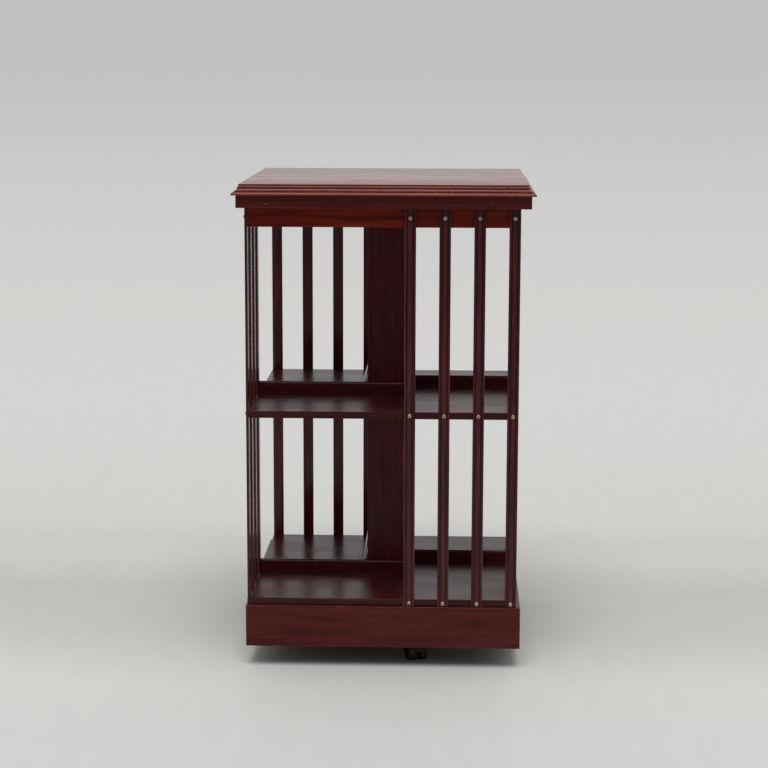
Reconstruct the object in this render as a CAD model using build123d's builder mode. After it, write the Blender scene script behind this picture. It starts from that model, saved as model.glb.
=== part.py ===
"""A two-tier revolving bookcase that turns on a steel spindle over a castered cross base.

Millimetres, +Z up. The origin is on the floor at the turning axis and -Y is the front.
Side 0 is the front, 1 the right, 2 the back and 3 the left. On each side's own level plane +X
runs to the right as seen from outside and -Y points outwards.
"""

import os
from math import cos, radians, sin, tan

from build123d import *

# ---- overall sizes -------------------------------------------------------------------------
case_width = 451.0  # shelves and frieze, square in plan
sub_top_width = 485.0
top_width = 500.0  # over the moulding
plinth_width = 465.0
floor_gap = 36.0  # floor to the plinth's lower edge

# ---- heights of what is stacked ------------------------------------------------------------
plinth_height = 71.0
shelf_thickness = 12.0
lower_tier_height = 310.0
upper_tier_height = 308.0
frieze_height = 32.0
sub_top_thickness = 21.0

# ---- boards --------------------------------------------------------------------------------
frieze_thickness = 18.0
plinth_thickness = 15.0
column_width = 68.0
column_board_thickness = 12.0
stop_width = 10.0
stop_height = 20.5
stop_round = 4.5  # along both upper edges
glue_block_leg = 26.0
glue_block_inset = 4.0  # above the plinth's lower edge
arris = 0.8  # rounded edge on the boards
joint_gap = 0.1  # clearance round a let-in piece

# ---- slats ---------------------------------------------------------------------------------
slats_per_side = 4
slat_width = 19.0
slat_thickness = 4.5
slat_side_gap = 0.5  # first slat to the line of the column's side
slat_arris = 1.3
reed_offset = 5.0  # centre of the slat to each groove
reed_width = 2.0
reed_depth = 1.5
reed_lip = 0.6

# ---- moulded edge of the top, from its flat outwards and down ------------------------------
top_fillet_drop = 1.6
upper_cove_out = 2.0
upper_cove_drop = 3.0
upper_quirk_drop = 1.2
lower_cove_out = 4.4
lower_cove_drop = 5.0
lower_quirk_drop = 1.4
bead_out = 5.6
bead_drop = 4.7
bead_foot = 1.1

# ---- slat screws ---------------------------------------------------------------------------
slat_screw_radius = 1.7
slat_screw_bite = 14.0  # into the board behind the slat
slat_screw_head_radius = 3.5
slat_screw_head_height = 1.9
slat_screw_rim = 0.4  # straight edge under the dome
cross_recess_span = 3.8
cross_recess_width = 1.1
cross_recess_depth = 1.0
screw_slot_width = 0.9
screw_slot_depth = 0.8
screw_gap = 0.1  # round every screw

# ---- pivot ---------------------------------------------------------------------------------
spindle_radius = 10.0
spindle_flange_radius = 44.0
spindle_flange_thickness = 5.0
spindle_end_chamfer = 2.0
spindle_end_gap = 5.0  # below the underside of the top
running_gap = 0.05  # radial, in every bush, socket and hub
thrust_washer_radius = 30.0
thrust_washer_thickness = 3.0
bush_wall = 3.0
bush_flange_thickness = 3.0
lower_bush_flange_radius = 25.0
top_bush_flange_radius = 18.0
bearing_block_width = 150.0
block_screw_spread = 120.0
block_screw_radius = 2.0
block_screw_head_radius = 4.0
countersink_angle = 82.0
block_screw_bite = 9.0

# ---- cross base ----------------------------------------------------------------------------
base_turn = 17.0  # degrees from the front to the nearest arm
arm_length = 384.0
arm_width = 42.0
arm_height = 30.0
arm_corner = 8.0
kingpin_circle_radius = 168.0
base_screw_radius = 1.8
base_screw_head_radius = 3.6
base_screw_head_height = 2.2
base_screw_length = 20.0
flange_screw_circle_radius = 36.0

# ---- twin-wheel casters --------------------------------------------------------------------
caster_plate_width = 38.0
caster_plate_thickness = 2.5
caster_plate_corner = 5.0
caster_plate_screw_spread = 27.0
kingpin_radius = 3.5
kingpin_length = 13.0
kingpin_end_gap = 1.5
kingpin_clearance = 3.0  # tread to the kingpin's line
boss_radius = 6.5
boss_height = 16.0
wheel_radius = 19.0
wheel_width = 12.5
wheel_edge = 2.5
wheel_dish_radius = 14.0
wheel_dish_depth = 2.0
wheel_hub_radius = 6.0
wheel_side_gap = 0.8  # wheel to web
web_thickness = 6.0
web_hub_radius = 10.0
hood_gap = 1.2  # tread to hood
hood_thickness = 1.8
hood_lift = 3.0  # axle to the hood's lower edge
hood_to_plate = 6.5
axle_radius = 3.0
axle_head_radius = 4.6
axle_head_thickness = 1.4
axle_head_gap = 0.3

# ---- worked out from the sizes above -------------------------------------------------------
upper_moulding_drop = top_fillet_drop + upper_cove_drop + upper_quirk_drop
lower_moulding_drop = lower_cove_drop + lower_quirk_drop + bead_drop + bead_foot
top_thickness = upper_moulding_drop + lower_moulding_drop

shelf_bottom = floor_gap + plinth_height
lower_floor = shelf_bottom + shelf_thickness
mid_bottom = lower_floor + lower_tier_height
upper_floor = mid_bottom + shelf_thickness
frieze_bottom = upper_floor + upper_tier_height
sub_top_bottom = frieze_bottom + frieze_height
top_bottom = sub_top_bottom + sub_top_thickness

case_half = case_width / 2
column_half = column_width / 2
plinth_half = plinth_width / 2
slat_back = case_half
slat_face = slat_back + slat_thickness
first_slat = column_half + slat_side_gap + slat_width / 2
last_slat = case_half - slat_width / 2
slat_pitch = (last_slat - first_slat) / (slats_per_side - 1)
slat_centres = [first_slat + slat_pitch * count for count in range(slats_per_side)]
bottom_screws = shelf_bottom + shelf_thickness / 2
middle_screws = mid_bottom + shelf_thickness / 2
frieze_screws = frieze_bottom + frieze_height / 2
slat_screw_heights = [bottom_screws, middle_screws, frieze_screws]

wheel_inner = web_thickness / 2 + wheel_side_gap
wheel_outer = wheel_inner + wheel_width
hood_inner_radius = wheel_radius + hood_gap
hood_radius = hood_inner_radius + hood_thickness
plate_bottom = wheel_radius + hood_radius + hood_to_plate
caster_height = plate_bottom + caster_plate_thickness
caster_trail = wheel_radius + kingpin_clearance
arm_top = caster_height + arm_height
flange_top = arm_top + spindle_flange_thickness
washer_top = flange_top + thrust_washer_thickness
block_bottom = washer_top + bush_flange_thickness
bush_bore_radius = spindle_radius + running_gap
bush_radius = bush_bore_radius + bush_wall
block_screw_taper = block_screw_head_radius - block_screw_radius
block_screw_head_depth = block_screw_taper / tan(radians(countersink_angle / 2))
spindle_top = top_bottom - spindle_end_gap

side_names = ["front", "right", "back", "left"]
sides = range(len(side_names))
quarter_turn = 90


def save(builder, name):
    """Label a finished piece and write it to its own STEP file."""
    builder.part.label = name
    export_step(builder.part, f"parts/{name}.step")


def side_plan(side, height=0.0):
    """Level plane at a height, turned so that -Y faces out of the given side."""
    return Plane.XY.rotated((0, 0, quarter_turn * side)).offset(height)


def side_face(side, distance):
    """Upright plane at a distance from the axis: X to the right, Y up, facing outwards."""
    turn = radians(quarter_turn * side)
    outward = Vector(sin(turn), -cos(turn), 0)
    return Plane(origin=outward * distance, x_dir=(cos(turn), sin(turn), 0), z_dir=outward)


def arm_plan(corner, distance=0.0, height=0.0):
    """Level plane at a distance along one arm of the base, with +X pointing out along it."""
    turn = radians(base_turn + quarter_turn * (corner - 1))
    outward = Vector(cos(turn), sin(turn), 0)
    return Plane(origin=outward * distance + Vector(0, 0, height), x_dir=outward)


def axle_plane(corner, distance=0.0):
    """Upright plane through a caster's axle: X along the arm, Y up, facing along the axle."""
    plan = arm_plan(corner, kingpin_circle_radius + caster_trail, wheel_radius)
    return Plane(origin=plan.origin, x_dir=plan.x_dir, z_dir=-plan.y_dir).offset(distance)


def slat_pilots(height):
    """The pilot holes behind the slats at one height, as solids to be cut away."""
    with BuildPart() as pilots:
        for side in sides:
            with BuildSketch(side_face(side, slat_back)):
                with Locations(*((centre, height) for centre in slat_centres)):
                    Circle(slat_screw_radius + screw_gap)
            extrude(amount=-slat_screw_bite - screw_gap)
    return pilots.part


def make_mid_shelf():
    """Shelf between the tiers, with a square hole for the column and the slats' pilot holes."""
    pilots = slat_pilots(middle_screws)
    with BuildPart() as shelf:
        with BuildSketch(Plane.XY.offset(mid_bottom)):
            Rectangle(case_width, case_width)
        extrude(amount=shelf_thickness)
        fillet(shelf.edges(), arris)
        with BuildSketch(Plane.XY.offset(mid_bottom)):
            Rectangle(case_width, case_width)
            hole_width = column_width + 2 * joint_gap
            Rectangle(hole_width, hole_width, mode=Mode.SUBTRACT)
        extrude(amount=shelf_thickness, mode=Mode.INTERSECT)
        add(pilots, mode=Mode.SUBTRACT)
    save(shelf, "mid_shelf")


def make_bottom_shelf():
    """Lowest shelf, with a round hole for the bush and pilot holes for slats and block."""
    pilots = slat_pilots(bottom_screws)
    with BuildPart() as shelf:
        with BuildSketch(Plane.XY.offset(shelf_bottom)):
            Rectangle(case_width, case_width)
        extrude(amount=shelf_thickness)
        fillet(shelf.edges(), arris)
        with BuildSketch(Plane.XY.offset(shelf_bottom)):
            Rectangle(case_width, case_width)
            Circle(bush_radius + joint_gap, mode=Mode.SUBTRACT)
        extrude(amount=shelf_thickness, mode=Mode.INTERSECT)
        with BuildSketch(Plane.XY.offset(shelf_bottom)):
            with GridLocations(block_screw_spread, block_screw_spread, 2, 2):
                Circle(block_screw_radius + screw_gap)
        extrude(amount=block_screw_bite + screw_gap, mode=Mode.SUBTRACT)
        add(pilots, mode=Mode.SUBTRACT)
    save(shelf, "bottom_shelf")


def make_slat(side, number, centre):
    """A slat whose two grooves leave a wide bead between two narrow ones down its face."""
    with BuildPart() as slat:
        with BuildSketch(side_plan(side, shelf_bottom)) as profile:
            with Locations((centre, -(slat_face + slat_back) / 2)):
                Rectangle(slat_width, slat_thickness)
            with Locations((centre, -slat_face + reed_depth / 2)):
                with GridLocations(2 * reed_offset, 0, 2, 1):
                    Rectangle(reed_width, reed_depth, mode=Mode.SUBTRACT)
            lips = profile.vertices().group_by(Axis.Y)[0].sort_by(Axis.X)[1:-1]
            fillet(lips, reed_lip)
            face_line = profile.vertices().group_by(Axis.Y)[0].sort_by(Axis.X)
            fillet([face_line[0], face_line[-1]], slat_arris)
            fillet(profile.vertices().group_by(Axis.Y)[-1], arris)
        extrude(amount=sub_top_bottom - shelf_bottom)
        with BuildSketch(side_face(side, slat_face)):
            with Locations(*((centre, height) for height in slat_screw_heights)):
                Circle(slat_screw_radius + screw_gap)
        extrude(amount=-slat_thickness, mode=Mode.SUBTRACT)
    save(slat, f"slat_{side_names[side]}_{number}")


def round_head_screw(shank_radius, length, head_radius, head_height):
    """A cross-recessed round-head screw, its head seated at Z = 0 and its shank below."""
    with BuildPart() as screw:
        with BuildSketch(Plane.XZ):
            with BuildLine():
                Polyline(
                    (0, head_height),
                    (0, -length),
                    (shank_radius, -length),
                    (shank_radius, 0),
                    (head_radius, 0),
                    (head_radius, slat_screw_rim),
                )
                TangentArc((0, head_height), (head_radius, slat_screw_rim), tangent=(1, 0))
            make_face()
        revolve(axis=Axis.Z)
        with BuildSketch(Plane.XY.offset(head_height)):
            Rectangle(cross_recess_span, cross_recess_width)
            Rectangle(cross_recess_width, cross_recess_span)
        extrude(amount=-cross_recess_depth, mode=Mode.SUBTRACT)
    return screw.part


def make_slat_screws():
    """Brass round-head screws, three to a slat."""
    screw = round_head_screw(
        slat_screw_radius,
        slat_thickness + slat_screw_bite,
        slat_screw_head_radius,
        slat_screw_head_height,
    )
    with BuildPart() as slat_screws:
        for side in sides:
            with Locations(side_face(side, slat_face)):
                for height in slat_screw_heights:
                    with Locations(*((centre, height) for centre in slat_centres)):
                        add(screw)
    save(slat_screws, "slat_screws")


def make_frame_board(name, side, bottom, height, width, thickness, pilots=None):
    """One mitred board of a square frame, with pilot holes if it takes the slats' screws."""
    outer = width / 2
    inner = outer - thickness
    with BuildPart() as board:
        with BuildSketch(Plane.XY.offset(bottom)):
            Rectangle(width, width)
        extrude(amount=height)
        fillet(board.edges(), arris)
        with BuildSketch(side_plan(side, bottom)):
            Polygon((-outer, -outer), (outer, -outer), (inner, -inner), (-inner, -inner), align=None)
        extrude(amount=height, mode=Mode.INTERSECT)
        if pilots:
            add(pilots, mode=Mode.SUBTRACT)
    save(board, name)


def make_column_board(side):
    """One of the four boards of the hollow column, each butted against the next."""
    inner = column_half - column_board_thickness
    with BuildPart() as board:
        with BuildSketch(side_plan(side, lower_floor)) as section:
            Polygon(
                (-column_half, -column_half),
                (inner, -column_half),
                (inner, -inner),
                (-column_half, -inner),
                align=None,
            )
            fillet(section.vertices().sort_by(Axis.X)[:2].sort_by(Axis.Y)[0], arris)
        extrude(amount=sub_top_bottom - lower_floor)
    save(board, f"column_board_{side_names[side]}")


def make_book_stops(side):
    """The low stops that run in from a side's first slat and across the column, one a tier."""
    length = slat_back + column_half
    with BuildPart() as stops:
        for floor in (lower_floor, upper_floor):
            with BuildSketch(side_face(side, slat_back)) as section:
                with Locations((column_half + stop_width / 2, floor + stop_height / 2)):
                    Rectangle(stop_width, stop_height)
                fillet(section.vertices().group_by(Axis.Y)[-1], stop_round)
            extrude(amount=-length)
    save(stops, f"book_stops_{side_names[side]}")


def make_glue_blocks():
    """Triangular blocks that hold the plinth's corners to the bottom shelf."""
    inner = plinth_half - plinth_thickness
    bottom = floor_gap + glue_block_inset
    with BuildPart() as blocks:
        for side in sides:
            with BuildSketch(side_plan(side, bottom)):
                Polygon(
                    (inner, -inner),
                    (inner, -inner + glue_block_leg),
                    (inner - glue_block_leg, -inner),
                    align=None,
                )
            extrude(amount=shelf_bottom - bottom)
    save(blocks, "glue_blocks")


def make_sub_top():
    """The plain board under the moulded top, bored for the top bush."""
    with BuildPart() as sub_top:
        with BuildSketch(Plane.XY.offset(sub_top_bottom)):
            Rectangle(sub_top_width, sub_top_width)
        extrude(amount=sub_top_thickness)
        fillet(sub_top.edges(), arris)
        with BuildSketch(Plane.XY.offset(sub_top_bottom)):
            Circle(bush_radius + joint_gap)
        extrude(amount=sub_top_thickness, mode=Mode.SUBTRACT)
    save(sub_top, "sub_top")


def top_section():
    """The moulded top's section: X is the reach from the axis and Y the height."""
    surface = top_bottom + top_thickness
    flat_half = top_width / 2 - bead_out - lower_cove_out - upper_cove_out
    flat_end = Vector(flat_half, surface)
    upper_cove_start = flat_end - Vector(0, top_fillet_drop)
    upper_cove_end = upper_cove_start + Vector(upper_cove_out, -upper_cove_drop)
    lower_cove_start = upper_cove_end - Vector(0, upper_quirk_drop)
    lower_cove_end = lower_cove_start + Vector(lower_cove_out, -lower_cove_drop)
    bead_start = lower_cove_end - Vector(0, lower_quirk_drop)
    bead_end = bead_start + Vector(bead_out, -bead_drop)
    with BuildSketch() as section:
        with BuildLine():
            Polyline((0, surface), flat_end, upper_cove_start)
            TangentArc(upper_cove_start, upper_cove_end, tangent=(0, -1))
            Line(upper_cove_end, lower_cove_start)
            TangentArc(lower_cove_start, lower_cove_end, tangent=(0, -1))
            Line(lower_cove_end, bead_start)
            TangentArc(bead_start, bead_end, tangent=(1, 0))
            Polyline(bead_end, bead_end - Vector(bead_foot, bead_foot), (0, top_bottom))
            mirror(about=Plane.YZ)
        make_face()
    return section.sketch


def make_top_board():
    """The top, with one moulding on all four edges that meets at mitred corners."""
    section = top_section()
    with BuildPart() as top_board:
        with BuildSketch(Plane.XZ):
            add(section)
        extrude(amount=top_width / 2, both=True)
        with BuildSketch(Plane.YZ):
            add(section)
        extrude(amount=top_width / 2, both=True, mode=Mode.INTERSECT)
    save(top_board, "top_board")


def make_bearing_block():
    """The block under the bottom shelf that holds the lower bush."""
    height = shelf_bottom - block_bottom
    with BuildPart() as block:
        with BuildSketch(Plane.XY.offset(block_bottom)):
            Rectangle(bearing_block_width, bearing_block_width)
        extrude(amount=height)
        fillet(block.edges(), arris)
        with BuildSketch(Plane.XY.offset(block_bottom)):
            Circle(bush_radius + joint_gap)
        extrude(amount=height, mode=Mode.SUBTRACT)
        with Locations(Plane(origin=(0, 0, block_bottom), x_dir=(1, 0, 0), z_dir=(0, 0, -1))):
            with GridLocations(block_screw_spread, block_screw_spread, 2, 2):
                CounterSinkHole(
                    radius=block_screw_radius + screw_gap,
                    counter_sink_radius=block_screw_head_radius + screw_gap,
                    counter_sink_angle=countersink_angle,
                    depth=height,
                )
    save(block, "bearing_block")


def make_block_screws():
    """Countersunk screws that hold the bearing block up against the bottom shelf."""
    length = shelf_bottom - block_bottom + block_screw_bite
    with BuildPart() as screw:
        with BuildSketch(Plane.XZ):
            Polygon(
                (0, 0),
                (block_screw_head_radius, 0),
                (block_screw_radius, block_screw_head_depth),
                (block_screw_radius, length),
                (0, length),
                align=None,
            )
        revolve(axis=Axis.Z)
        with BuildSketch():
            Rectangle(2 * block_screw_head_radius, screw_slot_width)
        extrude(amount=screw_slot_depth, mode=Mode.SUBTRACT)
    with BuildPart() as block_screws:
        with Locations((0, 0, block_bottom)):
            with GridLocations(block_screw_spread, block_screw_spread, 2, 2):
                add(screw.part)
    save(block_screws, "bearing_block_screws")


def make_bush(name, flange_bottom, flange_radius, top):
    """A flanged bush that the spindle runs in."""
    with BuildPart() as bush:
        with BuildSketch(Plane.XY.offset(flange_bottom)):
            Circle(flange_radius)
        extrude(amount=bush_flange_thickness)
        with BuildSketch(Plane.XY.offset(flange_bottom)):
            Circle(bush_radius)
        extrude(amount=top - flange_bottom)
        with BuildSketch(Plane.XY.offset(flange_bottom)):
            Circle(bush_bore_radius)
        extrude(amount=top - flange_bottom, mode=Mode.SUBTRACT)
    save(bush, name)


def make_spindle():
    """The flanged steel spindle: screwed to the cross, it runs up to just under the top."""
    with BuildPart() as spindle:
        with BuildSketch(Plane.XY.offset(caster_height)):
            Circle(spindle_radius)
        extrude(amount=spindle_top - caster_height)
        chamfer(spindle.edges().sort_by(Axis.Z)[-1], spindle_end_chamfer)
        with BuildSketch(Plane.XY.offset(arm_top)):
            Circle(spindle_flange_radius)
        extrude(amount=spindle_flange_thickness)
        with BuildSketch(arm_plan(0, height=arm_top)):
            with PolarLocations(flange_screw_circle_radius, 4):
                Circle(base_screw_radius + screw_gap)
        extrude(amount=spindle_flange_thickness, mode=Mode.SUBTRACT)
    save(spindle, "spindle")


def make_thrust_washer():
    """The washer on the spindle's flange that carries the weight of the case."""
    with BuildPart() as washer:
        with BuildSketch(Plane.XY.offset(flange_top)):
            Circle(thrust_washer_radius)
            Circle(bush_bore_radius, mode=Mode.SUBTRACT)
        extrude(amount=thrust_washer_thickness)
    save(washer, "thrust_washer")


def make_base_arm(name, corner, lapped_from_above):
    """One arm of the cross, halved into the other at the middle."""
    lap_bottom = caster_height + arm_height / 2 if lapped_from_above else caster_height
    with BuildPart() as arm:
        with BuildSketch(arm_plan(corner, height=caster_height)):
            RectangleRounded(arm_length, arm_width, arm_corner)
        extrude(amount=arm_height)
        fillet(arm.faces().filter_by(Axis.Z).edges(), arris)
        with BuildSketch(arm_plan(corner, height=lap_bottom)):
            Rectangle(arm_width + 2 * joint_gap, arm_width + 2 * joint_gap)
        extrude(amount=arm_height / 2, mode=Mode.SUBTRACT)
        with BuildSketch(arm_plan(corner, height=caster_height)):
            Circle(spindle_radius + joint_gap)
        extrude(amount=arm_height, mode=Mode.SUBTRACT)
        flange_screw_bite = base_screw_length - spindle_flange_thickness + screw_gap
        with BuildSketch(arm_plan(corner, height=arm_top)):
            with PolarLocations(flange_screw_circle_radius, 2):
                Circle(base_screw_radius + screw_gap)
        extrude(amount=-flange_screw_bite, mode=Mode.SUBTRACT)
        plate_screw_bite = base_screw_length - caster_plate_thickness + screw_gap
        with BuildSketch(arm_plan(corner, height=caster_height)):
            with GridLocations(2 * kingpin_circle_radius, 0, 2, 1):
                with GridLocations(caster_plate_screw_spread, caster_plate_screw_spread, 2, 2):
                    Circle(base_screw_radius + screw_gap)
        extrude(amount=plate_screw_bite, mode=Mode.SUBTRACT)
    save(arm, name)


def make_base_screws():
    """Round-head screws through the spindle's flange and up through the caster plates."""
    screw = round_head_screw(
        base_screw_radius,
        base_screw_length,
        base_screw_head_radius,
        base_screw_head_height,
    )
    with BuildPart() as base_screws:
        with Locations(arm_plan(0, height=flange_top)):
            with PolarLocations(flange_screw_circle_radius, 4):
                add(screw)
        for corner in sides:
            plan = arm_plan(corner, kingpin_circle_radius, plate_bottom)
            with Locations(Plane(origin=plan.origin, x_dir=plan.x_dir, z_dir=-plan.z_dir)):
                with GridLocations(caster_plate_screw_spread, caster_plate_screw_spread, 2, 2):
                    add(screw)
    save(base_screws, "base_screws")


def make_caster_plates():
    """The four caster plates under the arms, each with its kingpin."""
    with BuildPart() as plates:
        for corner in sides:
            with BuildSketch(arm_plan(corner, kingpin_circle_radius, plate_bottom)):
                RectangleRounded(caster_plate_width, caster_plate_width, caster_plate_corner)
                with GridLocations(caster_plate_screw_spread, caster_plate_screw_spread, 2, 2):
                    Circle(base_screw_radius + screw_gap, mode=Mode.SUBTRACT)
            extrude(amount=caster_plate_thickness)
            with BuildSketch(arm_plan(corner, kingpin_circle_radius, plate_bottom)):
                Circle(kingpin_radius)
            extrude(amount=-kingpin_length)
    save(plates, "caster_plates")


def make_caster_hood(corner):
    """A caster's body: boss, web and hood in one moulding, and the axle with its two heads."""
    axle_half = wheel_outer + axle_head_gap
    with BuildPart() as hood:
        with BuildSketch(axle_plane(corner, -web_thickness / 2)):
            Circle(hood_radius)
            Rectangle(2 * hood_radius, hood_radius, align=(Align.CENTER, Align.MAX), mode=Mode.SUBTRACT)
            Circle(web_hub_radius)
        extrude(amount=web_thickness)
        with BuildSketch(axle_plane(corner, -wheel_outer)):
            Circle(hood_radius)
            Circle(hood_inner_radius, mode=Mode.SUBTRACT)
            with Locations((0, hood_lift)):
                Rectangle(
                    2 * hood_radius,
                    2 * hood_radius,
                    align=(Align.CENTER, Align.MAX),
                    mode=Mode.SUBTRACT,
                )
        extrude(amount=2 * wheel_outer)
        with BuildSketch(arm_plan(corner, kingpin_circle_radius, plate_bottom)):
            Circle(boss_radius)
        extrude(amount=-boss_height)
        with BuildSketch(arm_plan(corner, kingpin_circle_radius, plate_bottom)):
            Circle(kingpin_radius + running_gap)
        extrude(amount=-kingpin_length - kingpin_end_gap, mode=Mode.SUBTRACT)
        with BuildSketch(axle_plane(corner, -web_thickness / 2)):
            Circle(axle_radius + running_gap)
        extrude(amount=web_thickness, mode=Mode.SUBTRACT)
        with BuildSketch(axle_plane(corner, -axle_half)):
            Circle(axle_radius)
        extrude(amount=2 * axle_half)
        for hand in (-1, 1):
            with BuildSketch(axle_plane(corner, hand * axle_half)):
                Circle(axle_head_radius)
            extrude(amount=hand * axle_head_thickness)
    save(hood, f"caster_hood_{corner + 1}")


def make_caster_wheel(corner, hand, hand_name):
    """One wheel of a twin-wheel caster: rounded tread, dished outer face, plain bore."""
    with BuildPart() as wheel:
        with BuildSketch(axle_plane(corner, hand * wheel_inner)):
            Circle(wheel_radius)
        extrude(amount=hand * wheel_width)
        fillet(wheel.edges().filter_by(GeomType.CIRCLE), wheel_edge)
        with BuildSketch(axle_plane(corner, hand * wheel_outer)):
            Circle(wheel_dish_radius)
            Circle(wheel_hub_radius, mode=Mode.SUBTRACT)
        extrude(amount=-hand * wheel_dish_depth, mode=Mode.SUBTRACT)
        with BuildSketch(axle_plane(corner, hand * wheel_inner)):
            Circle(axle_radius + running_gap)
        extrude(amount=hand * wheel_width, mode=Mode.SUBTRACT)
    save(wheel, f"caster_wheel_{corner + 1}_{hand_name}")


os.makedirs("parts", exist_ok=True)

make_top_board()
make_sub_top()
make_mid_shelf()
make_bottom_shelf()
frieze_pilots = slat_pilots(frieze_screws)
for side in sides:
    make_column_board(side)
    make_book_stops(side)
    for number, centre in enumerate(slat_centres, start=1):
        make_slat(side, number, centre)
    make_frame_board(
        f"frieze_{side_names[side]}",
        side,
        frieze_bottom,
        frieze_height,
        case_width,
        frieze_thickness,
        frieze_pilots,
    )
    make_frame_board(
        f"plinth_{side_names[side]}",
        side,
        floor_gap,
        plinth_height,
        plinth_width,
        plinth_thickness,
    )
make_slat_screws()
make_glue_blocks()

make_bearing_block()
make_block_screws()
make_bush("lower_bush", washer_top, lower_bush_flange_radius, lower_floor)
make_bush("top_bush", sub_top_bottom - bush_flange_thickness, top_bush_flange_radius, spindle_top)

make_spindle()
make_thrust_washer()
make_base_arm("base_arm_long", 0, True)
make_base_arm("base_arm_cross", 1, False)
make_base_screws()
make_caster_plates()
for corner in sides:
    make_caster_hood(corner)
    make_caster_wheel(corner, -1, "left")
    make_caster_wheel(corner, 1, "right")
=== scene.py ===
"""The looks of a revolving bookcase: lacquered mahogany, brass screws and black casters.

Metres, +Z up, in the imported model's own frame: the origin is on the floor at the turning axis
and -Y is the front. Sizes that a maker would measure are written in millimetres.
"""

from math import atan2, cos, hypot, pi, radians, sin
import random

import bmesh
import bpy
from mathutils import Matrix, Vector


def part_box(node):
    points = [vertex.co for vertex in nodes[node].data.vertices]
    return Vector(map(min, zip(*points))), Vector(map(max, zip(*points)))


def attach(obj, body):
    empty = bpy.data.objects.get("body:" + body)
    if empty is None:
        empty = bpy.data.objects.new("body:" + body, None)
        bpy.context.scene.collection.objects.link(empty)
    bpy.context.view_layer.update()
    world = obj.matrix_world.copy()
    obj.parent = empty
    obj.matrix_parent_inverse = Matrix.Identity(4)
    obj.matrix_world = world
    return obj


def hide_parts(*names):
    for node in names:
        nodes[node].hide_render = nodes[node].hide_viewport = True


MM = 0.001
SIDES = ("front", "right", "back", "left")

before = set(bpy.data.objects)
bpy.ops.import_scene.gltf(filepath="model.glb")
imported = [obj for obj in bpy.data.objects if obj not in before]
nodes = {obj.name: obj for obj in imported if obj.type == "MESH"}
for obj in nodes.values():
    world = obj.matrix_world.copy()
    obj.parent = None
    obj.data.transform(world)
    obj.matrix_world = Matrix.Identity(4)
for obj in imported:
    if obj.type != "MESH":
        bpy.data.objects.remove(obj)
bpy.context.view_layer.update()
case_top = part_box("top_board")[1]


# ---- camera --------------------------------------------------------------------------------
def make_camera(place, yaw, pitch, roll, lens):
    """A camera turned from straight ahead along +Y by yaw, then down by pitch, then rolled."""
    ahead = Vector((sin(yaw) * cos(pitch), cos(yaw) * cos(pitch), -sin(pitch)))
    level = Vector((cos(yaw), -sin(yaw), 0))
    upright = level.cross(ahead)
    right = level * cos(roll) + upright * sin(roll)
    up = upright * cos(roll) - level * sin(roll)
    camera = bpy.data.objects.new("camera", bpy.data.cameras.new("camera"))
    camera.data.lens = lens
    camera.matrix_world = (
        Matrix.Translation(place) @ Matrix((right, up, -ahead)).transposed().to_4x4()
    )
    bpy.context.scene.collection.objects.link(camera)
    bpy.context.scene.camera = camera


make_camera(
    place=(0.1143, -3.4843, 1.0291), yaw=-0.0347, pitch=0.16434, roll=0.00251, lens=93.05
)


# ---- materials -----------------------------------------------------------------------------
def paint(code):
    """An sRGB hex colour as linear red, green, blue and alpha."""
    channels = [int(code[at : at + 2], 16) / 255 for at in (1, 3, 5)]
    return [c / 12.92 if c <= 0.04045 else ((c + 0.055) / 1.055) ** 2.4 for c in channels] + [1]


def add_node(tree, kind, sockets=None, **settings):
    """Add a node, set its properties, and give each named socket its value or its link."""
    node = tree.nodes.new(kind)
    for name, value in settings.items():
        setattr(node, name, value)
    for name, value in (sockets or {}).items():
        if isinstance(value, bpy.types.NodeSocket):
            tree.links.new(value, node.inputs[name])
        else:
            node.inputs[name].default_value = value
    return node


def set_ramp(node, *stops):
    """Give a colour ramp its stops, each a place from 0 to 1 and a linear colour."""
    elements = node.color_ramp.elements
    while len(elements) < len(stops):
        elements.new(1)
    for element, (place, colour) in zip(elements, stops):
        element.position = place
        element.color = colour
    return node.outputs["Color"]


def new_material(name, **principled):
    """An empty material with its Principled shader's plain values set on its own sockets."""
    material = bpy.data.materials.new(name)
    material.use_nodes = True
    tree = material.node_tree
    tree.nodes.clear()
    sockets = {key.replace("_", " "): value for key, value in principled.items()}
    shader = add_node(tree, "ShaderNodeBsdfPrincipled", sockets)
    add_node(tree, "ShaderNodeOutputMaterial", {"Surface": shader.outputs[0]})
    return material, tree, shader


def object_place(tree):
    """The point on the surface in the piece's own coordinates."""
    return add_node(tree, "ShaderNodeTexCoord").outputs["Object"]


def mix_colours(tree, share, first, second, **settings):
    """The first colour turning into the second as the share goes from 0 to 1."""
    sockets = {0: share, 6: first, 7: second}
    return add_node(tree, "ShaderNodeMix", sockets, data_type="RGBA", **settings).outputs[2]


def grain_noise(tree, along, width, length, detail, distortion=0.0):
    """Noise drawn out along the grain: its spots have this width and length in millimetres."""
    place = object_place(tree)
    scale = [1 / (width * MM)] * 3
    scale[along] = 1 / (length * MM)
    turned = add_node(tree, "ShaderNodeMapping", {"Vector": place, "Scale": scale})
    noise = add_node(
        tree,
        "ShaderNodeTexNoise",
        {"Vector": turned.outputs[0], "Scale": 1, "Detail": detail, "Distortion": distortion},
    )
    return noise.outputs["Fac"]


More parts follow.
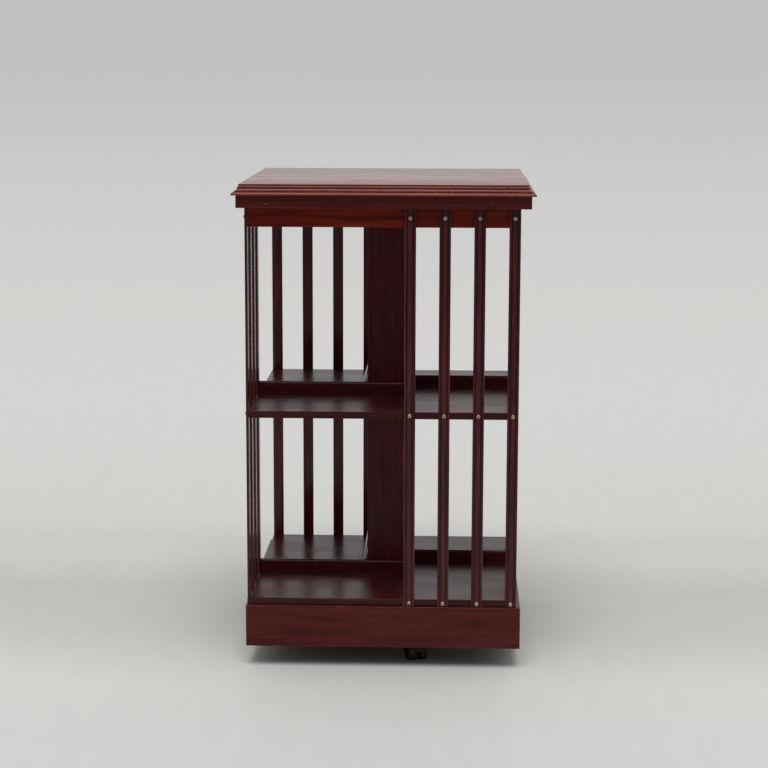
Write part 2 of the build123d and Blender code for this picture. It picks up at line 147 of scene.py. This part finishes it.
def rubbed_edges(tree, reach, breakup):
    """A mask of the arrises within a reach in millimetres, broken up by a noise."""
    eased = add_node(tree, "ShaderNodeBevel", {"Radius": reach * MM}, samples=4)
    flat = add_node(tree, "ShaderNodeNewGeometry").outputs["Normal"]
    facing = add_node(
        tree,
        "ShaderNodeVectorMath",
        {0: eased.outputs[0], 1: flat},
        operation="DOT_PRODUCT",
    )
    edge = add_node(
        tree,
        "ShaderNodeMapRange",
        {"Value": facing.outputs["Value"], "From Min": 0.99, "From Max": 0.85},
    )
    spots = add_node(
        tree, "ShaderNodeMapRange", {"Value": breakup, "From Min": 0.52, "From Max": 0.68}
    )
    return add_node(
        tree, "ShaderNodeMath", {0: edge.outputs[0], 1: spots.outputs[0]}, operation="MULTIPLY"
    ).outputs[0]


# Where the darkest, middle and lightest streaks fall in the figure's noise.
STREAK_TONES = (0.38, 0.5, 0.62)


def wood(
    name, along, shades, bare, sheen, specular, wear=1.0, ribbon=14, wave=0.0, hollow=None
):
    """Straight-grained wood under a finish, with the grain along one axis.

    Shades run from the darkest streak to the lightest. Bare is the wood where an arris is
    rubbed through or a nick shows. Sheen is the roughness where the finish is best and where
    it is worst. Wear is how strongly the arrises are rubbed, and ribbon the figure's width.
    Wave is how far, in millimetres, the lacquer stands out of true. Hollow makes the mask of
    the quirks and grooves that are painted almost black as shade.
    """
    material, tree, shader = new_material(name, IOR=1.5, Specular_IOR_Level=specular)
    # Ribbon figure about a finger wide, and the growth streaks in it.
    figure = grain_noise(tree, along, ribbon, ribbon * 14, 3, 0.6)
    streaks = grain_noise(tree, along, 2.2, 90, 2)
    tone = add_node(tree, "ShaderNodeMix", {"Factor": 0.45, 2: figure, 3: streaks}).outputs[0]
    colour = set_ramp(
        add_node(tree, "ShaderNodeValToRGB", {"Fac": tone}),
        *zip(STREAK_TONES, map(paint, shades)),
    )
    # Pores are 0.25 mm wide, and are drawn 0.7 mm wide so that they show.
    pores = add_node(
        tree,
        "ShaderNodeMapRange",
        {"Value": grain_noise(tree, along, 0.7, 9, 1), "From Min": 0.60, "From Max": 0.72},
    ).outputs[0]
    filled = mix_colours(tree, pores, colour, paint(shades[0]))
    # Handling has dulled the finish in patches about a hand wide, and rubbed the arrises.
    handling = grain_noise(tree, along, 55, 90, 3)
    scuffs = grain_noise(tree, along, 1.6, 6, 3)
    worn = add_node(
        tree,
        "ShaderNodeMath",
        {0: rubbed_edges(tree, 1.2, scuffs), 1: wear},
        operation="MULTIPLY",
        use_clamp=True,
    ).outputs[0]
    # Knocks have left a few pale nicks a centimetre long, in patches.
    nick = add_node(
        tree,
        "ShaderNodeMapRange",
        {"Value": grain_noise(tree, along, 1.3, 7, 2), "From Min": 0.735, "From Max": 0.76},
    ).outputs[0]
    knocked = add_node(
        tree, "ShaderNodeMapRange", {"Value": handling, "From Min": 0.50, "From Max": 0.56}
    ).outputs[0]
    nicked = add_node(
        tree, "ShaderNodeMath", {0: nick, 1: knocked}, operation="MULTIPLY"
    ).outputs[0]
    damage = add_node(
        tree, "ShaderNodeMath", {0: worn, 1: nicked}, operation="MAXIMUM"
    ).outputs[0]
    # Painted shade: the hollow's mask darkens the colour nearly to black.
    if hollow:
        filled = mix_colours(tree, hollow(tree), filled, paint(HOLLOW_SHADE))
    finished = mix_colours(tree, damage, filled, paint(bare))
    best, worst = sheen
    gloss = add_node(
        tree,
        "ShaderNodeMapRange",
        {
            "Value": handling,
            "From Min": 0.35,
            "From Max": 0.65,
            "To Min": best,
            "To Max": worst,
        },
    ).outputs[0]
    relief = add_node(
        tree,
        "ShaderNodeBump",
        {"Height": pores, "Strength": 1.0, "Distance": 0.02 * MM},
        invert=True,
    ).outputs[0]
    if wave:
        relief = add_node(
            tree,
            "ShaderNodeBump",
            {
                "Height": grain_noise(tree, along, 35, 60, 1),
                "Strength": 1.0,
                "Distance": wave * MM,
                "Normal": relief,
            },
        ).outputs[0]
    tree.links.new(finished, shader.inputs["Base Color"])
    tree.links.new(gloss, shader.inputs["Roughness"])
    tree.links.new(relief, shader.inputs["Normal"])
    return material


def depth_mask(tree, value, start, end, *stops):
    """A mask over the way from start to end, with stops that give its place and strength."""
    depth = add_node(
        tree, "ShaderNodeMapRange", {"Value": value, "From Min": start, "From Max": end}
    ).outputs[0]
    return set_ramp(
        add_node(tree, "ShaderNodeValToRGB", {"Fac": depth}),
        *((place, (strength, strength, strength, 1)) for place, strength in stops),
    )


def slat_groove_shade(tree):
    """A mask of painted shade on the floors of the slats' grooves, by how far in they lie from
    the faces.
    """
    size = add_node(
        tree, "ShaderNodeVectorMath", {0: object_place(tree)}, operation="ABSOLUTE"
    ).outputs[0]
    split = add_node(tree, "ShaderNodeSeparateXYZ", {0: size})
    # The case is square, so the larger of the two distances is the distance out to a face.
    out = add_node(
        tree,
        "ShaderNodeMath",
        {0: split.outputs["X"], 1: split.outputs["Y"]},
        operation="MAXIMUM",
    ).outputs[0]
    face = -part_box("slat_front_1")[0].y
    inside = face - 2.5 * MM
    return depth_mask(tree, out, inside, face, (0.16, 0), (0.28, 1), (0.42, 1), (0.75, 0))


def top_quirk_shade(tree):
    """A mask of painted shade on the three upright steps of the top's moulding, by their depth
    below its flat.
    """
    height = add_node(tree, "ShaderNodeSeparateXYZ", {0: object_place(tree)}).outputs["Z"]
    below = case_top.z - 20 * MM
    stops = []
    for fades_in, full, still_full, gone in (
        (0.015, 0.04, 0.10, 0.14),
        (0.21, 0.24, 0.29, 0.33),
        (0.52, 0.55, 0.60, 0.64),
    ):
        stops += [(fades_in, 0), (full, 0.65), (still_full, 0.65), (gone, 0)]
    return depth_mask(tree, height, case_top.z, below, *stops)


def metal_or_plastic(name, clean, dirty, patch, sheen, dirt=(0.45, 0.7), **principled):
    """A plain material with dirt or tarnish in patches of a size in millimetres."""
    material, tree, shader = new_material(name, **principled)
    cloud = grain_noise(tree, 0, patch, patch, 4)
    soil = add_node(
        tree, "ShaderNodeMapRange", {"Value": cloud, "From Min": dirt[0], "From Max": dirt[1]}
    ).outputs[0]
    colour = mix_colours(tree, soil, paint(clean), paint(dirty))
    gloss = add_node(
        tree, "ShaderNodeMapRange", {"Value": cloud, "To Min": sheen[0], "To Max": sheen[1]}
    ).outputs[0]
    relief = add_node(
        tree,
        "ShaderNodeBump",
        {"Height": grain_noise(tree, 0, 0.6, 0.6, 2), "Strength": 1.0, "Distance": 0.02 * MM},
    ).outputs[0]
    tree.links.new(colour, shader.inputs["Base Color"])
    tree.links.new(gloss, shader.inputs["Roughness"])
    tree.links.new(relief, shader.inputs["Normal"])
    return material


X, Y, Z = range(3)
# Red mahogany stain under gloss lacquer, as the darkest, middle and lightest streak of a part.
# The top's shades are lighter and redder than the rest of the case: painted light from the lamp
# overhead.
TOP_LIT_SHADES = ("#742820", "#7f3026", "#8a382c")
CASE_SHADES = ("#401211", "#4e1714", "#5c1f1a")
FRIEZE_SHADES = ("#55130a", "#6e1d0f", "#842a17")
PLINTH_SHADES = ("#431412", "#501a18", "#5c221f")
SHELF_SHADES = ("#310e10", "#3b1315", "#461919")
STOP_SHADES = ("#3e0a11", "#4c1017", "#5a161e")
COLUMN_SHADES = ("#420f12", "#521518", "#621f20")
SLAT_SHADES = ("#380b0f", "#4c1418", "#632124")
# Paler wood where the lacquer is rubbed or knocked away, and the painted shade in a hollow.
BARE = "#a5765c"
HOLLOW_SHADE = "#170506"

# Polished lacquer: from low down the top mirrors the room, its lighter colour is painted light,
# and its quirks are dark lines of painted shade.
top_wood = wood(
    "lacquered_mahogany_top",
    X,
    TOP_LIT_SHADES,
    BARE,
    (0.12, 0.2),
    0.29,
    wear=1.5,
    wave=0.006,
    hollow=top_quirk_shade,
)
# The board under the top is always in shade, so its lacquer reads as a plain dark red-brown.
case_wood = wood("lacquered_mahogany_under_top", X, CASE_SHADES, BARE, (0.2, 0.32), 0.2)
# The shelves' lacquer mirrors the slats softly, and is duller where books have rubbed it.
shelf_wood = wood(
    "lacquered_mahogany_shelves", X, SHELF_SHADES, BARE, (0.22, 0.31), 0.18, wave=0.008
)
# The frieze has the clearest stain: orange-red streaks that run along each board.
frieze_wood = [
    wood("lacquered_mahogany_frieze_" + "xy"[way], way, FRIEZE_SHADES, BARE, (0.18, 0.3), 0.12)
    for way in (X, Y)
]
# Feet knock the plinth, so its lacquer is duller and its arrises show pale wood.
plinth_wood = [
    wood(
        "lacquered_mahogany_plinth_" + "xy"[way],
        way,
        PLINTH_SHADES,
        BARE,
        (0.22, 0.36),
        0.15,
        wear=3.0,
    )
    for way in (X, Y)
]
# The stops are deep cherry red in the shade, with a thin shine along the rounded edge.
stop_wood = [
    wood("lacquered_mahogany_stops_" + "xy"[way], way, STOP_SHADES, BARE, (0.16, 0.26), 0.28)
    for way in (X, Y)
]
# The column is the darkest broad face, with fine upright streaks.
column_wood = wood(
    "lacquered_mahogany_column", Z, COLUMN_SHADES, BARE, (0.2, 0.34), 0.15, ribbon=9
)
# The slats are glossy beads between grooves painted nearly black as shade.
slat_wood = wood(
    "lacquered_mahogany_slats",
    Z,
    SLAT_SHADES,
    BARE,
    (0.14, 0.24),
    0.3,
    wear=0.15,
    ribbon=8,
    hollow=slat_groove_shade,
)
# Beech under the plinth, stained dark brown and left matt.
arm_wood = wood(
    "stained_beech",
    X,
    ("#2b1712", "#35201a", "#432a22"),
    "#8b6a4c",
    (0.5, 0.7),
    0.4,
    wear=0.6,
)
# Beech inside the plinth, left as it was sawn: pale, pinkish and dull.
block_wood = wood(
    "bare_beech",
    X,
    ("#a9805a", "#bc9268", "#c9a37b"),
    "#d0ae88",
    (0.6, 0.8),
    0.4,
    wear=0.0,
)
# Brass that has browned in patches, so a screw head glints only here and there.
screw_brass = metal_or_plastic(
    "tarnished_brass", "#e2c3aa", "#8a6a56", 3, (0.3, 0.5), Metallic=1.0
)
# Brass turned on a lathe and kept bright by the spindle.
bush_brass = metal_or_plastic("turned_brass", "#d2b074", "#b08a52", 6, (0.2, 0.35), Metallic=1.0)
# Steel plated with zinc: a cool grey shine with duller patches.
bright_steel = metal_or_plastic(
    "zinc_plated_steel", "#b4b4b2", "#85827e", 8, (0.25, 0.45), Metallic=1.0
)
# Turned nylon: off-white with a soft shine.
washer_nylon = metal_or_plastic("nylon", "#d8d4c6", "#c4beab", 10, (0.45, 0.6), IOR=1.53)
# Moulded nylon coloured black: a low shine, and greyer where floor dust has stuck.
caster_plastic = metal_or_plastic(
    "moulded_black_nylon", "#0c0c0d", "#1a1816", 7, (0.4, 0.65), Specular_IOR_Level=0.3
)

finishes = {
    "sub_top": case_wood,
    "mid_shelf": shelf_wood,
    "bottom_shelf": shelf_wood,
    "glue_blocks": block_wood,
    "bearing_block": block_wood,
    "bearing_block_screws": bright_steel,
    "lower_bush": bush_brass,
    "top_bush": bush_brass,
    "base_arm_long": arm_wood,
    "base_arm_cross": arm_wood,
    "spindle": bright_steel,
    "thrust_washer": washer_nylon,
    "base_screws": bright_steel,
    "caster_plates": bright_steel,
}
for turn, side in enumerate(SIDES):
    finishes["column_board_" + side] = column_wood
    finishes["book_stops_" + side] = stop_wood[turn % 2]
    finishes["frieze_" + side] = frieze_wood[turn % 2]
    finishes["plinth_" + side] = plinth_wood[turn % 2]
for number in range(1, 5):
    finishes[f"caster_hood_{number}"] = caster_plastic
    for hand in ("left", "right"):
        finishes[f"caster_wheel_{number}_{hand}"] = caster_plastic
for name, material in finishes.items():
    for holder in nodes[name].material_slots:
        holder.material = material


# ---- modelling -----------------------------------------------------------------------------
def start_on(piece):
    """Deselect everything, then open one piece in edit mode."""
    bpy.ops.object.select_all(action="DESELECT")
    piece.select_set(True)
    bpy.context.view_layer.objects.active = piece
    bpy.ops.object.mode_set(mode="EDIT")


def choose(kind, test):
    """Select only the vertices, edges or faces that pass a test."""
    bpy.ops.mesh.select_mode(type=kind)
    bpy.ops.mesh.select_all(action="DESELECT")
    shape = bmesh.from_edit_mesh(bpy.context.object.data)
    for part in {"VERT": shape.verts, "EDGE": shape.edges, "FACE": shape.faces}[kind]:
        if test(part):
            part.select_set(True)
    shape.select_flush_mode()
    bmesh.update_edit_mesh(bpy.context.object.data)


def settle(piece, name, material, body, slot, *replaced, angle=30):
    """Close the edit, put the place in the mesh, shade by angle, and hand the piece over."""
    if bpy.context.mode != "OBJECT":
        bpy.ops.object.mode_set(mode="OBJECT")
    bpy.ops.object.select_all(action="DESELECT")
    piece.select_set(True)
    bpy.context.view_layer.objects.active = piece
    bpy.ops.object.transform_apply(location=True, rotation=True, scale=True)
    bpy.ops.object.shade_smooth_by_angle(angle=radians(angle))
    piece.name = piece.data.name = name
    piece.data.materials.clear()
    piece.data.materials.append(material)
    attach(piece, body)
    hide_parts(*replaced)


def turned_copy(piece, turn, slide=(0, 0, 0)):
    """A copy with its own mesh, slid and then turned round the axis by quarter turns."""
    twin = piece.copy()
    twin.data = piece.data.copy()
    twin.data.transform(Matrix.Rotation(turn * pi / 2, 4, "Z") @ Matrix.Translation(slide))
    bpy.context.scene.collection.objects.link(twin)
    return twin


def arc(start, leaving, end, steps):
    """Points after start on the arc that leaves it in one direction and reaches end."""
    across, down = end[0] - start[0], end[1] - start[1]
    half = atan2(leaving[0] * down - leaving[1] * across, leaving[0] * across + leaving[1] * down)
    points = []
    for step in range(1, steps + 1):
        turn = half * step / steps
        length = hypot(across, down) * sin(turn) / sin(half)
        points.append(
            (
                start[0] + length * (leaving[0] * cos(turn) - leaving[1] * sin(turn)),
                start[1] + length * (leaving[1] * cos(turn) + leaving[0] * sin(turn)),
            )
        )
    return points


# ---- the moulded top -----------------------------------------------------------------------
def make_top():
    """The top, drawn out from its flat over two coves and a bead to the underside."""
    # In millimetres: out from the flat, and down to each change of curve.
    arris, upper_step, lower_step, bead_step = 0.35, 1.6, 5.8, 12.2
    upper_cove, lower_cove, bead, foot = (2.0, 4.6), (6.4, 10.8), (12.0, 16.9), (10.9, 18.0)
    flat = case_top.x - bead[0] * MM

    def at(out, down):
        return flat + out * MM, case_top.z - down * MM

    points = [at(-arris, 0)]
    points += arc(points[-1], (1, 0), at(0, arris), 3)
    points.append(at(0, upper_step))
    points += arc(points[-1], (0, -1), at(*upper_cove), 5)
    points.append(at(upper_cove[0], lower_step))
    points += arc(points[-1], (0, -1), at(*lower_cove), 7)
    points.append(at(lower_cove[0], bead_step))
    points += arc(points[-1], (1, 0), at(*bead), 8)
    points.append(at(*foot))
    bpy.ops.object.select_all(action="DESELECT")
    bpy.ops.mesh.primitive_plane_add(size=2 * points[0][0], location=(0, 0, points[0][1]))
    top = bpy.context.object
    start_on(top)
    choose("EDGE", lambda edge: True)
    for (reach, height), (last_reach, last_height) in zip(points[1:], points):
        bpy.ops.mesh.extrude_edges_move(
            TRANSFORM_OT_translate={"value": (0, 0, height - last_height)}
        )
        widen = reach / last_reach
        bpy.ops.transform.resize(value=(widen, widen, 1), center_override=(0, 0, height))
    bpy.ops.mesh.edge_face_add()
    bpy.ops.mesh.select_all(action="SELECT")
    bpy.ops.mesh.normals_make_consistent(inside=False)
    settle(top, "moulded_top", top_wood, "case", "mahogany_top", "top_board", angle=28)


make_top()


# ---- reeded slats --------------------------------------------------------------------------
def make_slats():
    """Sixteen thin slats, each with a wide bead between two narrow ones down its face."""
    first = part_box("slat_front_1")
    centre = (first[0] + first[1]) / 2
    width, thickness, length = first[1] - first[0]
    face = first[0].y
    # Each groove runs between these two distances from the slat's middle line.
    inner, outer = 4.0 * MM, 6.0 * MM
    groove_floor = face + 1.7 * MM
    touching = 0.05 * MM
    bpy.ops.object.select_all(action="DESELECT")
    bpy.ops.mesh.primitive_plane_add(size=1, location=(centre.x, centre.y, first[0].z))
    slat = bpy.context.object
    slat.scale = (width, thickness, 1)
    bpy.ops.object.transform_apply(location=True, rotation=True, scale=True)
    start_on(slat)
    for offset in (-outer, -inner, inner, outer):
        bpy.ops.mesh.select_all(action="SELECT")
        bpy.ops.mesh.bisect(plane_co=(centre.x + offset, 0, 0), plane_no=(1, 0, 0))
    bpy.ops.mesh.select_all(action="SELECT")
    bpy.ops.mesh.bisect(plane_co=(0, groove_floor, 0), plane_no=(0, 1, 0))
    choose(
        "FACE",
        lambda part: part.calc_center_median().y < groove_floor
        and inner < abs(part.calc_center_median().x - centre.x) < outer,
    )
    bpy.ops.mesh.delete(type="FACE")

    def near(offset, place):
        return lambda part: (
            abs(abs(part.co.x - centre.x) - offset) < touching
            and abs(part.co.y - place) < touching
        )

    # Corners of the section: from the middle line, at which depth, eased by how many
    # millimetres and in how many steps.
    for offset, place, ease, steps in (
        (width / 2, face, 1.6, 4),
        (outer, face, 1.2, 3),
        (inner, face, 1.6, 4),
        (width / 2, first[1].y, 0.7, 2),
    ):
        choose("VERT", near(offset, place))
        bpy.ops.mesh.bevel(offset=ease * MM, segments=steps, affect="VERTICES")
    bpy.ops.mesh.select_all(action="SELECT")
    bpy.ops.mesh.extrude_region_move(TRANSFORM_OT_translate={"value": (0, 0, length)})
    bpy.ops.mesh.select_all(action="SELECT")
    bpy.ops.mesh.normals_make_consistent(inside=False)
    bpy.ops.object.mode_set(mode="OBJECT")
    for turn, side in enumerate(SIDES):
        for number in range(1, 5):
            lo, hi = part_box(f"slat_front_{number}")
            slide = ((lo.x + hi.x) / 2 - centre.x, 0, 0)
            settle(
                turned_copy(slat, turn, slide),
                f"reeded_slat_{side}_{number}",
                slat_wood,
                "case",
                "mahogany_slats",
                f"slat_{side}_{number}",
                angle=35,
            )
    bpy.data.objects.remove(slat)


make_slats()


# ---- slat screws ---------------------------------------------------------------------------
def make_screws():
    """Cross-recessed round-head screws, three to a slat, each stopped at its own angle."""
    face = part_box("slat_front_1")[0].y
    # In millimetres: the head's radius, the upright rim under the dome, and the dome's crown.
    radius, rim, crown = 3.5, 0.4, (0.4, 1.9)
    dome = [(radius, rim)] + arc((radius, rim), (0, 1), crown, 6)
    bpy.ops.object.select_all(action="DESELECT")
    bpy.ops.mesh.primitive_circle_add(
        vertices=28, radius=radius * MM, fill_type="NGON", location=(0, 0, 0)
    )
    head = bpy.context.object
    start_on(head)
    choose("FACE", lambda part: True)
    last_reach, last_height = radius, 0.0
    for reach, height in dome:
        bpy.ops.mesh.extrude_region_move(
            TRANSFORM_OT_translate={"value": (0, 0, (height - last_height) * MM)}
        )
        widen = reach / last_reach
        bpy.ops.transform.resize(value=(widen, widen, 1))
        last_reach, last_height = reach, height
    # The cross recess: half the width of an arm, its reach, and its floor above the slat.
    arm, reach, floor = 0.75 * MM, 2.1 * MM, 0.35 * MM
    for plane in ((0, 1, 0), (1, 0, 0)):
        for offset in (-reach, -arm, arm, reach):
            bpy.ops.mesh.select_all(action="SELECT")
            bpy.ops.mesh.bisect(plane_co=[offset * axis for axis in plane], plane_no=plane)

    def in_cross(part):
        middle = part.calc_center_median()
        across, along = sorted((abs(middle.x), abs(middle.y)))
        return middle.z > floor and across < arm and along < reach

    choose("FACE", in_cross)
    bpy.ops.mesh.extrude_region_move(TRANSFORM_OT_translate={"value": (0, 0, 0)})
    bpy.ops.transform.resize(value=(1, 1, 0), center_override=(0, 0, floor))
    bpy.ops.mesh.select_all(action="SELECT")
    bpy.ops.mesh.normals_make_consistent(inside=False)
    bpy.ops.object.mode_set(mode="OBJECT")
    stops = random.Random(17)
    boards = [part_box(name) for name in ("bottom_shelf", "mid_shelf", "frieze_front")]
    heights = [(lo.z + hi.z) / 2 for lo, hi in boards]
    upright = Matrix.Rotation(pi / 2, 4, "X")
    for turn, side in enumerate(SIDES):
        heads = []
        for number in range(1, 5):
            lo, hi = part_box(f"slat_front_{number}")
            for height in heights:
                twin = head.copy()
                twin.data = head.data.copy()
                place = Matrix.Translation(((lo.x + hi.x) / 2, face, height))
                own_turn = Matrix.Rotation(stops.uniform(0, pi / 2), 4, "Z")
                twin.data.transform(
                    Matrix.Rotation(turn * pi / 2, 4, "Z") @ place @ upright @ own_turn
                )
                bpy.context.scene.collection.objects.link(twin)
                heads.append(twin)
        bpy.ops.object.select_all(action="DESELECT")
        for twin in heads:
            twin.select_set(True)
        bpy.context.view_layer.objects.active = heads[0]
        bpy.ops.object.join()
        settle(
            heads[0], f"screw_heads_{side}", screw_brass, "case", "brass", "slat_screws", angle=40
        )
    bpy.data.objects.remove(head)


make_screws()


# ---- floor, sky and lamp -------------------------------------------------------------------
def make_studio():
    """A pale floor that runs out to meet a pale, soft sky, and one broad lamp overhead."""
    bpy.ops.object.select_all(action="DESELECT")
    bpy.ops.mesh.primitive_plane_add(size=400, location=(0, 0, 0))
    floor = bpy.context.object
    floor.name = "studio_floor"
    # Matt pale grey paint with faint scuffs. Its broad lighter and darker bands are painted light
    # and shade: a painted shadow band just behind the case, a floor darkening far in front so the
    # front faces mirror less light, and far behind a paler stretch that darkens again towards the
    # horizon like light on a backdrop.
    material, tree, shader = new_material("painted_floor", Roughness=0.6, IOR=1.45)
    ahead = add_node(tree, "ShaderNodeSeparateXYZ", {0: object_place(tree)}).outputs["Y"]
    far = add_node(tree, "ShaderNodeMath", {0: ahead}, operation="ABSOLUTE").outputs[0]
    # This squeezes the whole floor into one ramp, which is finest within two metres.
    spread = add_node(tree, "ShaderNodeMath", {0: far, 1: 2.0}, operation="ADD").outputs[0]
    share = add_node(
        tree, "ShaderNodeMath", {0: ahead, 1: spread}, operation="DIVIDE"
    ).outputs[0]
    along = add_node(
        tree, "ShaderNodeMapRange", {"Value": share, "From Min": -1.0, "From Max": 1.0}
    ).outputs[0]
    colour = set_ramp(
        add_node(tree, "ShaderNodeValToRGB", {"Fac": along}),
        (0.15, paint("#959595")),
        (0.30, paint("#cbcbca")),
        (0.37, paint("#dededc")),
        (0.43, paint("#e2e2df")),
        (0.49, paint("#d1d1cd")),
        (0.56, paint("#c8c8c4")),
        (0.60, paint("#d4d4d1")),
        (0.625, paint("#d3d3ce")),
        (0.65, paint("#d9d9d5")),
        (0.70, paint("#dbdbd8")),
        (0.775, paint("#dddddb")),
        (0.855, paint("#dbdbd8")),
        (0.925, paint("#d4d4d3")),
        (1.0, paint("#c4c4c5")),
    )
    scuffs = grain_noise(tree, Y, 40, 160, 6)
    level = add_node(
        tree, "ShaderNodeMapRange", {"Value": scuffs, "To Min": 0.96, "To Max": 1.04}
    ).outputs[0]
    mottled = mix_colours(tree, 1.0, colour, level, blend_type="MULTIPLY")
    tree.links.new(mottled, shader.inputs["Base Color"])
    floor.data.materials.append(material)

    world = bpy.data.worlds.new("studio")
    bpy.context.scene.world = world
    world.use_nodes = True
    sky = world.node_tree
    sky.nodes.clear()
    toward = add_node(sky, "ShaderNodeTexCoord").outputs["Generated"]
    split = add_node(sky, "ShaderNodeSeparateXYZ", {0: toward})
    # The sky pales just above the floor's far edge, and is darker towards the front.
    rise = set_ramp(
        add_node(sky, "ShaderNodeValToRGB", {"Fac": split.outputs["Z"]}),
        (0.0, paint("#c0c0c2")),
        (0.03, paint("#c2c2c2")),
        (0.07, paint("#d1d1d1")),
        (0.4, paint("#d4d4d4")),
        (1.0, paint("#cecece")),
    )
    side = add_node(
        sky, "ShaderNodeMapRange", {"Value": split.outputs["Y"], "From Min": -1, "From Max": 1}
    ).outputs[0]
    behind = set_ramp(
        add_node(sky, "ShaderNodeValToRGB", {"Fac": side}),
        (0.0, paint("#818181")),
        (0.45, paint("#e1e1e1")),
        (0.7, paint("#ffffff")),
    )
    light = mix_colours(sky, 1.0, rise, behind, blend_type="MULTIPLY")
    glow = add_node(sky, "ShaderNodeBackground", {"Color": light})
    add_node(sky, "ShaderNodeOutputWorld", {"Surface": glow.outputs[0]})

    # The lamp is over the case and a little in front, and its breadth softens every shadow.
    lamp = bpy.data.lights.new("overhead_softbox", "SUN")
    lamp.energy = 1.5
    lamp.angle = radians(36)
    holder = bpy.data.objects.new("overhead_softbox", lamp)
    holder.rotation_euler = (radians(24), 0, 0)
    bpy.context.scene.collection.objects.link(holder)


make_studio()

bpy.context.scene.view_settings.view_transform = "Standard"
